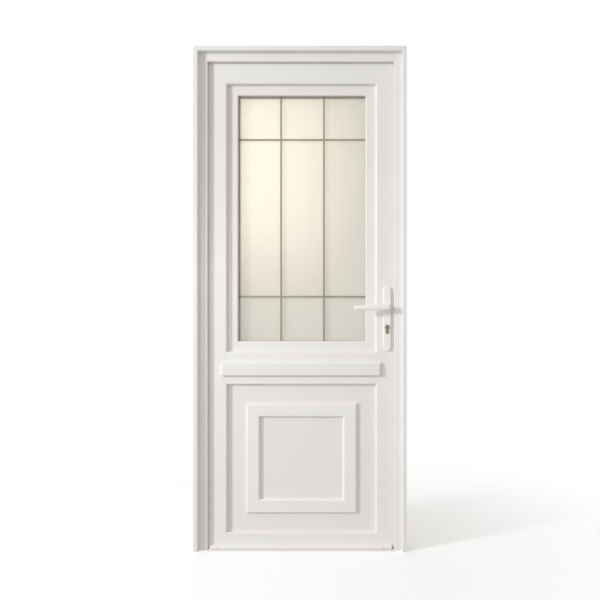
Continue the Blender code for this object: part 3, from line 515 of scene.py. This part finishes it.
def euro_outline(play=0.0):
    """Round head over a narrow round-ended stem, taken from the CAD cylinder's box."""
    head = (CYLINDER[1].x - CYLINDER[0].x) / 2
    centre = (HANDLE_AXIS.x, CYLINDER[1].z - head)
    stem = STEM_RADIUS + play
    join = math.degrees(math.asin(stem / (head + play)))
    foot = (HANDLE_AXIS.x, CYLINDER[0].z + STEM_RADIUS)
    return (arc(centre, head + play, -90 + join, 270 - join, ROUND_STEPS)
            + arc(foot, stem, 180, 360, ROUND_STEPS // 2))


def build_plate(name, seat, face):
    """Long handle plate with round ends, a softly rolled edge and its two holes."""
    radius = (PLATE[1].x - PLATE[0].x) / 2
    low, high = PLATE[0].z, PLATE[1].z
    outline = (arc((HANDLE_AXIS.x, high - radius), radius, 0, 180, 24)
               + arc((HANDLE_AXIS.x, low + radius), radius, 180, 360, 24))
    plate = new_piece(name, prism(outline, seat, face, 0.0, PLATE_ROLL, 6), "coat", "leaf")
    start, end = min(seat, face) - CUT_OVER, max(seat, face) + CUT_OVER
    hub = (HANDLE_AXIS.x, HANDLE_AXIS.z)
    holes = merged(prism(euro_outline(CYLINDER_PLAY), start, end),
                   prism(arc(hub, SPINDLE_HOLE, 0, 360, 32)[:-1], start, end))
    cut_piece(plate, [holes])


def lever_stations():
    """(x, middle z, half height, share of the full thickness) from the tip to the hub's end."""
    hub_x = LEVER[1].x - HUB_RADIUS
    tip_x = LEVER[0].x + TIP_RADIUS
    foot = HANDLE_AXIS.z - HUB_RADIUS
    stations = []
    for step in range(LEVER_END_STEPS, 0, -1):
        turn = math.radians(LEVER_END_TURN * step / LEVER_END_STEPS)
        stations.append((tip_x - TIP_RADIUS * math.sin(turn), foot + TIP_RADIUS,
                         TIP_RADIUS * math.cos(turn), math.cos(turn) ** LEVER_END_FALL))
    for step in range(LEVER_BAR_STEPS + 1):
        share = step / LEVER_BAR_STEPS
        bow = LEVER_BOW * 4 * share * (1 - share)
        half = TIP_RADIUS + (HUB_RADIUS - TIP_RADIUS) * share + bow / 2
        stations.append((tip_x + (hub_x - tip_x) * share, foot + half, half, 1.0))
    for step in range(1, LEVER_END_STEPS + 1):
        turn = math.radians(LEVER_END_TURN * step / LEVER_END_STEPS)
        stations.append((hub_x + HUB_RADIUS * math.sin(turn), foot + HUB_RADIUS,
                         HUB_RADIUS * math.cos(turn), math.cos(turn) ** LEVER_END_FALL))
    return stations


def build_lever(name, seat, outside):
    """Lever with a soft oval section, on a turned neck that flares into it."""
    outward = 1.0 if outside > seat else -1.0
    middle = outside - outward * LEVER_THICKNESS / 2
    bm = bmesh.new()
    rings = []
    for x, z, half, share in lever_stations():
        ring = []
        for step in range(LEVER_RING_STEPS):
            turn = 2 * math.pi * step / LEVER_RING_STEPS
            across = math.copysign(abs(math.cos(turn)) ** LEVER_SQUARENESS, math.cos(turn))
            up = math.copysign(abs(math.sin(turn)) ** LEVER_SQUARENESS, math.sin(turn))
            ring.append(bm.verts.new((x, middle + across * LEVER_THICKNESS / 2 * share,
                                      z + up * half)))
        rings.append(ring)
    for ring, following in zip(rings, rings[1:]):
        for index in range(LEVER_RING_STEPS):
            onward = (index + 1) % LEVER_RING_STEPS
            bm.faces.new((ring[index], ring[onward], following[onward], following[index]))
    bm.faces.new(list(reversed(rings[0])))
    bm.faces.new(rings[-1])
    lever = new_piece(name, bm, "coat", "handle")
    inside = outside - outward * LEVER_THICKNESS
    length = abs(inside - seat)
    profile = [(NECK_RADIUS - NECK_EDGE, seat), (NECK_RADIUS, seat + outward * NECK_EDGE)]
    for step in range(9):
        share = step / 8
        radius = NECK_RADIUS - NECK_WAIST * math.sin(math.pi * share)
        profile.append((radius, seat + outward * (NECK_FOOT + (length - NECK_FOOT) * share)))
    profile.append((NECK_RADIUS, middle))
    cut_piece(lever, [spun(profile, (HANDLE_AXIS.x, HANDLE_AXIS.z))], 'UNION')


def build_cylinder():
    """Profile cylinder with a turning plug and a keyway at each end."""
    near, far = CYLINDER[0].y, CYLINDER[1].y
    head = (CYLINDER[1].x - CYLINDER[0].x) / 2
    centre = (HANDLE_AXIS.x, CYLINDER[1].z - head)
    body = prism(euro_outline(), near, far, CYLINDER_EDGE, CYLINDER_EDGE, 2)
    piece = new_piece("lock_cylinder", body, "brass", "leaf")
    for face, inward in ((near, 1.0), (far, -1.0)):
        start, end = sorted((face - inward * CUT_OVER, face + inward * PLUG_GROOVE))
        groove = bmesh.new()
        loops = []
        for radius, y in ((PLUG_RADIUS, start), (PLUG_RADIUS + PLUG_GROOVE, start),
                          (PLUG_RADIUS + PLUG_GROOVE, end), (PLUG_RADIUS, end)):
            loops.append([groove.verts.new((x, y, z))
                          for x, z in arc(centre, radius, 0, 360, ROUND_STEPS)[:-1]])
        for loop, following in zip(loops, loops[1:] + loops[:1]):
            for index in range(ROUND_STEPS):
                onward = (index + 1) % ROUND_STEPS
                groove.faces.new((loop[index], loop[onward], following[onward],
                                  following[index]))
        start, end = sorted((face - inward * CUT_OVER, face + inward * KEYWAY_DEPTH))
        outline = [(centre[0] + across * KEYWAY_WIDTH / 2, centre[1] + up * PLUG_RADIUS)
                   for across, up in KEYWAY_OUTLINE]
        cut_piece(piece, [groove, prism(outline, start, end)])


def upright(bm, height=0.0):
    """Stand a body made about the Y axis on the hinges' axis, at a height."""
    bmesh.ops.rotate(bm, cent=(0.0, 0.0, 0.0), verts=bm.verts,
                     matrix=Matrix.Rotation(math.radians(90.0), 3, 'X'))
    bmesh.ops.translate(bm, vec=(HINGE_AXIS.x, HINGE_AXIS.y, height), verts=bm.verts)
    return bm


def slab(x, y, z, corner, edge):
    """A flat plate in the XZ plane with rounded corners and a softened outer (+Y) edge."""
    left, right = x
    low, high = z
    outline = (arc((right - corner, high - corner), corner, 0, 90, 6)
               + arc((left + corner, high - corner), corner, 90, 180, 6)
               + arc((left + corner, low + corner), corner, 180, 270, 6)
               + arc((right - corner, low + corner), corner, 270, 360, 6))
    return prism(outline, y[0], y[1], 0.0, edge, 3)


def knuckle(low, high, dome_low, dome_high):
    """A hinge knuckle on the hinges' axis, each end domed or just softened."""
    profile = [(POLE_RADIUS, low)]
    for end, inward, domed in ((low, 1.0, dome_low), (high, -1.0, dome_high)):
        rise, run = (DOME, HINGE_RADIUS) if domed else (SOFT_EDGE, SOFT_EDGE)
        curve = []
        for step in range(9):
            turn = math.radians(90.0 * step / 8)
            curve.append((HINGE_RADIUS - run + run * math.sin(turn),
                          end + inward * (rise - rise * math.cos(turn))))
        profile += curve if inward > 0.0 else curve[::-1]
    profile.append((POLE_RADIUS, high))
    profile = [(max(width, POLE_RADIUS), place) for width, place in profile]
    profile = [pair for index, pair in enumerate(profile)
               if index == 0 or (Vector(pair) - Vector(profile[index - 1])).length > WELD_DISTANCE]
    return upright(spun(profile, (0.0, 0.0), 32))


def wing_screw(x, z, face):
    """Countersunk cover screw: a shallow domed disc standing in the wing's face."""
    profile = [(SCREW_COVER, face - SCREW_SEAT), (SCREW_COVER, face - SCREW_RIM)]
    for step in range(1, 6):
        turn = math.radians(18.0 * step)
        profile.append((max(SCREW_COVER * math.cos(turn), SCREW_TOP),
                        face - SCREW_RIM + SCREW_DOME * math.sin(turn)))
    return spun(profile, (x, z), 24)


def build_hinge(name):
    """Both halves of one hinge: domed knuckles, frame arm and leaf wing with its screws."""
    low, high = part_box(name + "_frame_half")
    leaf_low, leaf_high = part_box(name + "_leaf_half")
    split = (leaf_low.z + leaf_high.z) / 2
    gap = HINGE_SPLIT / 2
    frame_half = new_piece(name + "_frame_half", knuckle(low.z, split - gap, True, False),
                           "coat", "frame")
    arm = slab((low.x, HINGE_AXIS.x + ARM_REACH), (low.y, HINGE_AXIS.y),
               (low.z + DOME, split - gap), ARM_CORNER, 0.0)
    pin = spun([(PIN_RADIUS, 0.0), (PIN_RADIUS, PIN_LENGTH)], (0.0, 0.0), 24)
    cut_piece(frame_half, [arm, upright(pin, split - PIN_DROP)], 'UNION')

    leaf_half = new_piece(name + "_leaf_half", knuckle(split + gap, leaf_high.z, False, True),
                          "coat", "leaf")
    wing_face = leaf_low.y + WING_THICKNESS
    wing_left = leaf_high.x - WING_WIDTH
    arm = slab((HINGE_AXIS.x, wing_left + ARM_LAP), (leaf_low.y, wing_face),
               (split + gap, leaf_high.z - DOME), ARM_CORNER, 0.0)
    wing = slab((wing_left, leaf_high.x), (leaf_low.y, wing_face), (leaf_low.z, leaf_high.z),
                WING_CORNER, WING_EDGE)
    cut_piece(leaf_half, [arm, wing], 'UNION')
    bore_radius = PIN_RADIUS + PIN_PLAY
    bore = spun([(bore_radius, 0.0), (bore_radius, PIN_LENGTH)], (0.0, 0.0), 24)
    cut_piece(leaf_half, [upright(bore, split - BORE_DROP)])
    screws = [wing_screw(wing_left + WING_WIDTH * WING_SCREW_PLACE, place, wing_face)
              for place in (leaf_low.z + WING_SCREW_END, split, leaf_high.z - WING_SCREW_END)]
    cut_piece(leaf_half, screws, 'UNION')


def build_screw(name):
    """Domed screw head with a cross recess."""
    low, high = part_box(name)
    centre = ((low.x + high.x) / 2, (low.z + high.z) / 2)
    radius = (high.x - low.x) / 2
    tall = high.y - low.y
    profile = [(radius - HEAD_RIM, low.y), (radius, low.y + HEAD_RIM)]
    for step in range(1, 7):
        turn = math.radians(15.0 * step)
        profile.append((max(radius * math.cos(turn), SCREW_TOP),
                        low.y + HEAD_RIM + (tall - HEAD_RIM) * math.sin(turn)))
    screw = new_piece(name, spun(profile, centre, 32), "steel", "leaf")
    long, wide = radius * CROSS_LENGTH, radius * CROSS_WIDTH
    start, end = high.y - tall * CROSS_DEPTH, high.y + CUT_OVER
    for across, up in ((long, wide), (wide, long)):
        bar = prism([(centre[0] - across, centre[1] - up), (centre[0] + across, centre[1] - up),
                     (centre[0] + across, centre[1] + up), (centre[0] - across, centre[1] + up)],
                    start, end)
        cut_piece(screw, [bar])


def colour_setting(name, code, description):
    """A colour that a user may change, from its sRGB hex value."""
    return FloatVectorProperty(name=name, description=description, subtype='COLOR', size=3,
                               min=0.0, max=1.0, default=linear(code))


class FrontDoorSettings(bpy.types.PropertyGroup):
    """Colours and sizes a user would change."""
    pvc_colour: colour_setting("PVC colour", "F4F3F1",
                               "White of the PVC profiles")
    pvc_shade: colour_setting("PVC shade", "F1F0ED",
                              "Slightly darker white clouding the PVC")
    # Painted shade: the panel's recessed ground is painted this darker white
    panel_ground_painted_shade: colour_setting("Panel ground", "F0EEEB",
                                 "White of the panel's flat ground")
    coat_colour: colour_setting("Handle colour", "F8F7F5",
                                "White of the coated handle set")
    brass_colour: colour_setting("Cylinder brass", "B8AC86",
                                 "Colour of the lock cylinder")
    brass_shade: colour_setting("Cylinder brass, dull", "9C9070",
                                "Duller brass mottling the cylinder")
    bar_colour: colour_setting("Glazing bars", "ABA48C",
                               "Colour of the glazing bars at the top")
    # Painted shade on the glazing bars at their foot
    bar_painted_shade: colour_setting("Glazing bars, low", "978F78",
                              "Colour of the glazing bars at the foot")
    seal_colour: colour_setting("Seal rubber", "8D8A85",
                                "Grey of the rubber seals")
    seal_shade: colour_setting("Seal rubber, dark", "7C7974",
                               "Darker grey in the seals")
    gasket_colour: colour_setting("Glazing gasket", "CECBC5",
                                  "Grey of the glazing gaskets")
    gasket_shade: colour_setting("Glazing gasket, dark", "C2BFB9",
                                 "Darker grey in the gaskets")
    glass_colour: colour_setting("Etched glass", "FAF6EE",
                                 "Tint of the etched pane")
    glass_passes: FloatProperty(name="Glass transmission", default=0.75, min=0.0, max=1.0,
                                subtype='FACTOR',
                                description="Share of light that the etched pane lets through")
    arris: FloatProperty(name="Arris", default=0.8 * MM, min=0.0, unit='LENGTH',
                         description="Rounding of the PVC profiles' small edges")
    camera_distance: FloatProperty(name="Camera distance", default=2.6, unit='LENGTH',
                                   description="From the frame's face to the camera")
    camera_side: FloatProperty(name="Camera offset", default=0.40, unit='LENGTH',
                               description="Camera to the right of the door's middle")
    camera_height: FloatProperty(name="Camera height", default=1.0, unit='LENGTH',
                                 description="Camera above the floor")
    field_width: FloatProperty(name="Field width", default=2.548, unit='LENGTH',
                               description="Width of the door's plane that the picture covers")
    field_height: FloatProperty(name="Field centre", default=1.070, unit='LENGTH',
                                description="Height on the door that is at the picture's middle")
    key_power: FloatProperty(name="Key light", default=237.0, unit='POWER',
                             description="Power of the soft light at the left")
    sky_high: FloatProperty(name="Light from above", default=0.63, min=0.0,
                            description="Strength of the even light from above")
    sky_low: FloatProperty(name="Light from below", default=0.465, min=0.0,
                           description="Strength of the even light from below")
    front_power: FloatProperty(name="Front light", default=42.0, unit='POWER',
                               description="Power of the spot light on the middle rail")
    overhead_power: FloatProperty(name="Overhead light", default=2.0, unit='POWER',
                                  description="Power of the soft light above the door")
    back_fill_power: FloatProperty(name="Fill behind", default=1.2, unit='POWER',
                                   description="Power of the low light behind the glass")
    glow_power: FloatProperty(name="Glow behind", default=5.0, unit='POWER',
                              description="Power of the warm light behind the glass")


PVC_NODES = ("frame", "leaf_frame", "transom", "ledge", "weather_bar", "weather_bar_cap_left",
             "weather_bar_cap_right", "bead_outer_left", "bead_outer_right", "bead_outer_top",
             "bead_outer_bottom", "bead_inner_left", "bead_inner_right", "bead_inner_top",
             "bead_inner_bottom", "panel_bead_left", "panel_bead_right", "panel_bead_top",
             "panel_bead_bottom")
STEEL_NODES = ("lock_faceplate", "latch_bolt", "keep_plate", "spindle")
STEEL_EDGE = 0.3 * MM
# Node, finish and how far its edges are rounded
GLAZING_NODES = (("pane_outer", "clear", 0.5 * MM), ("pane_inner", "etched", 0.5 * MM),
                 ("glass_spacer", "spacer", 0.3 * MM), ("lattice", "bars", 0.8 * MM),
                 ("gasket_outer", "gasket", 0.2 * MM), ("gasket_inner", "gasket", 0.2 * MM))
SEAL_NODES = (("frame_seal", "rubber", 0.6 * MM), ("leaf_seal", "rubber", 0.5 * MM),
              ("threshold", "coat", 0.5 * MM))


class DOOR_OT_finishes(bpy.types.Operator):
    """Make the door's finishes"""
    bl_idname = "front_door.finishes"
    bl_label = "Make Finishes"

    def execute(self, context):
        make_finishes(context.scene.front_door)
        return {'FINISHED'}


class DOOR_OT_profiles(bpy.types.Operator):
    """Finish the PVC frame, leaf, beads, ledge and weather bar"""
    bl_idname = "front_door.profiles"
    bl_label = "PVC Profiles"

    def execute(self, context):
        arris = context.scene.front_door.arris
        for name in PVC_NODES:
            dress_node(name, "pvc", arris)
        dress_node("lower_panel", "panel", arris)
        return {'FINISHED'}


class DOOR_OT_glazing(bpy.types.Operator):
    """Finish the panes, the glazing bars, the spacer and the gaskets"""
    bl_idname = "front_door.glazing"
    bl_label = "Glazing"

    def execute(self, context):
        for name, finish, edge in GLAZING_NODES:
            dress_node(name, finish, edge)
        return {'FINISHED'}


class DOOR_OT_seals(bpy.types.Operator):
    """Finish the frame's and the leaf's seals and the threshold"""
    bl_idname = "front_door.seals"
    bl_label = "Seals and Threshold"

    def execute(self, context):
        for name, finish, edge in SEAL_NODES:
            dress_node(name, finish, edge)
        return {'FINISHED'}


class DOOR_OT_lock(bpy.types.Operator):
    """Finish the lock, its plates, the latch and the spindle"""
    bl_idname = "front_door.lock"
    bl_label = "Lock"

    def execute(self, context):
        for name in STEEL_NODES:
            dress_node(name, "steel", STEEL_EDGE)
        build_cylinder()
        for name in ("plate_screw_upper", "plate_screw_lower"):
            build_screw(name)
        return {'FINISHED'}


class DOOR_OT_handles(bpy.types.Operator):
    """Finish the lever handles and their plates"""
    bl_idname = "front_door.handles"
    bl_label = "Handles"

    def execute(self, context):
        build_plate("handle_plate_outer", PLATE[1].y, PLATE[0].y)
        build_plate("handle_plate_inner", PLATE_INNER[0].y, PLATE_INNER[1].y)
        build_lever("lever_outer", LEVER[1].y, LEVER[0].y)
        build_lever("lever_inner", LEVER_INNER[0].y, LEVER_INNER[1].y)
        return {'FINISHED'}


class DOOR_OT_hinges(bpy.types.Operator):
    """Finish the three hinges"""
    bl_idname = "front_door.hinges"
    bl_label = "Hinges"

    def execute(self, context):
        for place in ("lower", "middle", "upper"):
            build_hinge("hinge_" + place)
        return {'FINISHED'}


def add_light(name, light, place, target, power, colour):
    """Put a light in the scene, aimed at a point."""
    light.energy = power
    light.color = linear(colour)
    item = bpy.data.objects.new(name, light)
    bpy.context.scene.collection.objects.link(item)
    item.location = place
    item.rotation_euler = (Vector(target) - Vector(place)).to_track_quat('-Z', 'Y').to_euler()
    return item


def add_area_light(name, place, target, size, power, colour):
    """A soft rectangular light that the camera doesn't see."""
    light = bpy.data.lights.new(name, 'AREA')
    light.shape = 'RECTANGLE'
    light.size, light.size_y = size
    add_light(name, light, place, target, power, colour).visible_camera = False


def build_floor():
    """Pale round floor that fades out towards its edge."""
    bm = bmesh.new()
    bmesh.ops.create_circle(bm, cap_ends=True, segments=64, radius=FLOOR_RADIUS)
    mesh = bpy.data.meshes.new("floor")
    bm.to_mesh(mesh)
    bm.free()
    floor = bpy.data.objects.new("floor", mesh)
    bpy.context.scene.collection.objects.link(floor)
    material, tree, surface = new_finish("pale_floor", linear("F7F7F7"), 0.85,
                                         Emission_Color=(1.0, 1.0, 1.0, 1.0),
                                         Emission_Strength=FLOOR_GLOW)
    place = add_node(tree, "ShaderNodeTexCoord", out="Object")
    away = add_node(tree, "ShaderNodeVectorMath", {0: place}, "Value", operation='LENGTH')
    add_node(tree, "ShaderNodeMapRange",
             {"Value": away, "From Min": FLOOR_RADIUS * FLOOR_FADE[0],
              "From Max": FLOOR_RADIUS * FLOOR_FADE[1], "To Min": 1.0, "To Max": 0.0},
             into=surface["Alpha"], interpolation_type='SMOOTHSTEP')
    mesh.materials.append(material)
    floor.visible_diffuse = False


def build_sky(settings):
    """Even light from all around, and plain white where the camera sees past the door."""
    world = bpy.data.worlds.new("studio")
    bpy.context.scene.world = world
    world.use_nodes = True
    tree = world.node_tree
    back = tree.nodes["Background"]
    back.inputs["Color"].default_value = SKY_COLOUR
    way = add_node(tree, "ShaderNodeTexCoord", out="Generated")
    rise = add_node(tree, "ShaderNodeSeparateXYZ", {"Vector": way}, "Z")
    add_node(tree, "ShaderNodeMapRange",
             {"Value": rise, "From Min": SKY_RISE[0], "From Max": SKY_RISE[1],
              "To Min": settings.sky_low, "To Max": settings.sky_high},
             into=back.inputs["Strength"])
    white = add_node(tree, "ShaderNodeBackground",
                     {"Color": (1.0, 1.0, 1.0, 1.0), "Strength": 1.0})
    seen = add_node(tree, "ShaderNodeLightPath", out="Is Camera Ray")
    add_node(tree, "ShaderNodeMixShader", {"Fac": seen, 1: back.outputs[0], 2: white},
             into=tree.nodes["World Output"].inputs["Surface"])


def build_lights(settings):
    """Soft lights in front and behind, and a spot on the middle rail."""
    add_area_light("key", (-5.2, -3.0, 2.75), (0.0, 0.0, 1.1), (0.9, 0.9),
                   settings.key_power, "FBFCFF")
    add_area_light("overhead", (-0.6, -1.5, 3.4), (0.0, 0.0, 1.6), (1.8, 0.9),
                   settings.overhead_power, "FFFDFA")
    add_area_light("glow", (-0.55, 1.3, 1.95), (-0.1, 0.1, 1.5), (1.15, 1.15),
                   settings.glow_power, "FFF3DC")
    add_area_light("back_fill", (-0.2, 1.7, 0.7), (0.0, 0.1, 1.1), (1.8, 1.3),
                   settings.back_fill_power, "FFFAF0")
    spot = bpy.data.lights.new("front", 'SPOT')
    spot.spot_size = FRONT_CONE
    spot.spot_blend = 1.0
    spot.shadow_soft_size = FRONT_SOFTNESS
    add_light("front", spot, FRONT_PLACE, FRONT_TARGET, settings.front_power, "FFFDFA")


def build_camera(settings):
    """Level camera in front of the door, shifted so that the picture is the photograph's."""
    camera = bpy.data.cameras.new("camera")
    camera.sensor_width = SENSOR_WIDTH
    camera.lens = SENSOR_WIDTH * settings.camera_distance / settings.field_width
    camera.shift_x = -settings.camera_side / settings.field_width
    camera.shift_y = (settings.field_height - settings.camera_height) / settings.field_width
    view = bpy.data.objects.new("camera", camera)
    bpy.context.scene.collection.objects.link(view)
    view.location = (settings.camera_side, DOOR[0].y - settings.camera_distance,
                     settings.camera_height)
    view.rotation_euler = (math.radians(90.0), 0.0, 0.0)
    bpy.context.scene.camera = view


class DOOR_OT_stage(bpy.types.Operator):
    """Build the floor, the lights and the camera"""
    bl_idname = "front_door.stage"
    bl_label = "Stage"

    def execute(self, context):
        settings = context.scene.front_door
        context.scene.view_settings.view_transform = 'Standard'
        build_floor()
        build_sky(settings)
        build_lights(settings)
        build_camera(settings)
        return {'FINISHED'}


OPERATORS = (DOOR_OT_finishes, DOOR_OT_profiles, DOOR_OT_glazing, DOOR_OT_seals, DOOR_OT_lock,
             DOOR_OT_handles, DOOR_OT_hinges, DOOR_OT_stage)


class DOOR_PT_panel(bpy.types.Panel):
    """Lists the door's settings and the steps that dress it"""
    bl_idname = "DOOR_PT_panel"
    bl_label = "PVC Front Door"
    bl_space_type = 'VIEW_3D'
    bl_region_type = 'UI'
    bl_category = "Front Door"

    def draw(self, context):
        settings = context.scene.front_door
        for name in FrontDoorSettings.__annotations__:
            self.layout.prop(settings, name)
        for operator in OPERATORS:
            self.layout.operator(operator.bl_idname)


def register():
    bpy.utils.register_class(FrontDoorSettings)
    for operator in OPERATORS:
        bpy.utils.register_class(operator)
    bpy.utils.register_class(DOOR_PT_panel)
    bpy.types.Scene.front_door = bpy.props.PointerProperty(type=FrontDoorSettings)


def unregister():
    del bpy.types.Scene.front_door
    bpy.utils.unregister_class(DOOR_PT_panel)
    for operator in reversed(OPERATORS):
        bpy.utils.unregister_class(operator)
    bpy.utils.unregister_class(FrontDoorSettings)


def main():
    """Dress the door step by step."""
    register()
    for operator in OPERATORS:
        group, name = operator.bl_idname.split(".")
        getattr(getattr(bpy.ops, group), name)()


if __name__ == "__main__":
    main()
